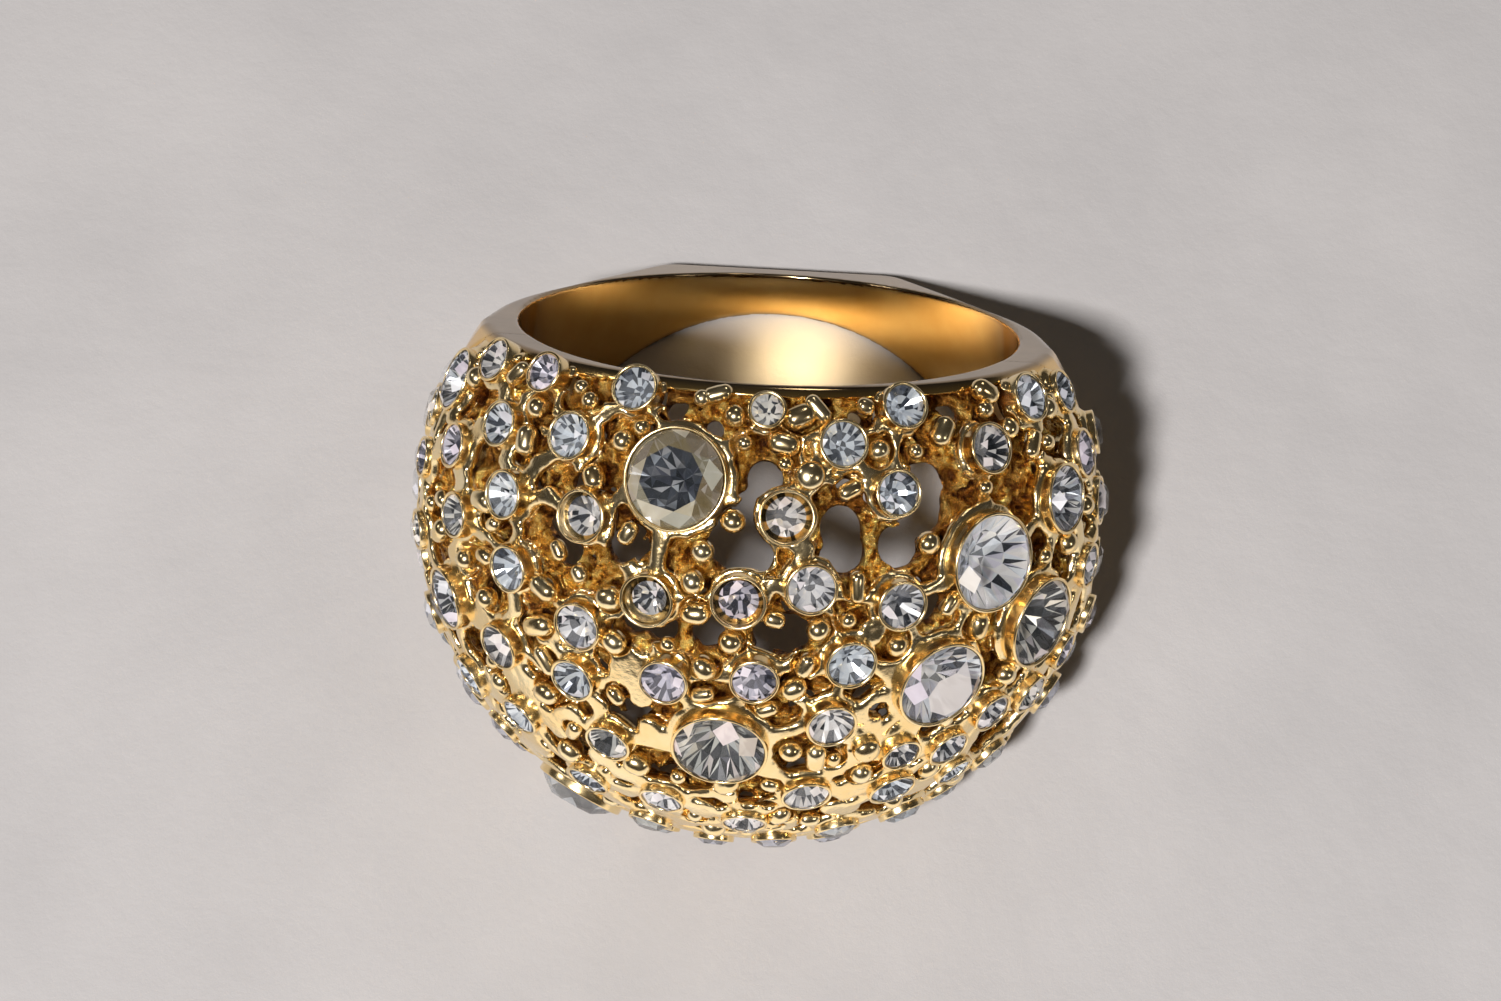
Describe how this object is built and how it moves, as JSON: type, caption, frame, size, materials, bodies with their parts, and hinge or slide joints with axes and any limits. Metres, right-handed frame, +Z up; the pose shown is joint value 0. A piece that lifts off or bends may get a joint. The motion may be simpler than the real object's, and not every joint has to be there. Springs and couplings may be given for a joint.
{
  "type": "cocktail ring",
  "caption": "Domed openwork cocktail ring with a squared shank, pierced web and round clear crystals in bezel cups.",
  "frame": {"origin": "centre of the bounding box's base, on the table that the lower rim lies on", "axes": "+Z up, -Y towards the front of the dome, +X to the right when looking at the dome; the finger hole's axis leans back from +Z towards +Y by 26.7 degrees"},
  "size_m": [0.0256, 0.025, 0.0192],
  "materials": {
    "polished_gold": "polished gold plate, lightly brushed on the rims",
    "web_gold": "rough cast gold plate with dark antiqued recesses",
    "cup_gold": "polished pale gold plate",
    "grain_gold": "polished pale gold plate",
    "crystal": "clear faceted crystal with a foiled back"
  },
  "bodies": {
    "root": {"shank": "polished_gold", "upper_rail": "polished_gold", "lower_rail": "polished_gold", "web": "web_gold", "cup_crest": "cup_gold", "crystal_crest": "crystal", "cup_right_brow": "cup_gold", "crystal_right_brow": "crystal", "cup_right_low": "cup_gold", "crystal_right_low": "crystal", "cup_right_flank": "cup_gold", "crystal_right_flank": "crystal", "cup_chin": "cup_gold", "crystal_chin": "crystal", "cup_right_temple": "cup_gold", "crystal_right_temple": "crystal", "cup_left_cheek": "cup_gold", "crystal_left_cheek": "crystal", "cup_left_temple": "cup_gold", "crystal_left_temple": "crystal", "cup_left_foot": "cup_gold", "crystal_left_foot": "crystal", "rim_cups": "cup_gold", "rim_crystals": "crystal", "upper_left_cups": "cup_gold", "upper_left_crystals": "crystal", "upper_right_cups": "cup_gold", "upper_right_crystals": "crystal", "middle_left_cups": "cup_gold", "middle_left_crystals": "crystal", "middle_right_cups": "cup_gold", "middle_right_crystals": "crystal", "lower_left_cups": "cup_gold", "lower_left_crystals": "crystal", "lower_right_cups": "cup_gold", "lower_right_crystals": "crystal", "left_flank_cups": "cup_gold", "left_flank_crystals": "crystal", "right_flank_cups": "cup_gold", "right_flank_crystals": "crystal", "underside_cups": "cup_gold", "underside_crystals": "crystal", "gold_studs": "cup_gold", "upper_grains": "grain_gold", "middle_grains": "grain_gold", "lower_grains": "grain_gold"}
  },
  "joints": []
}
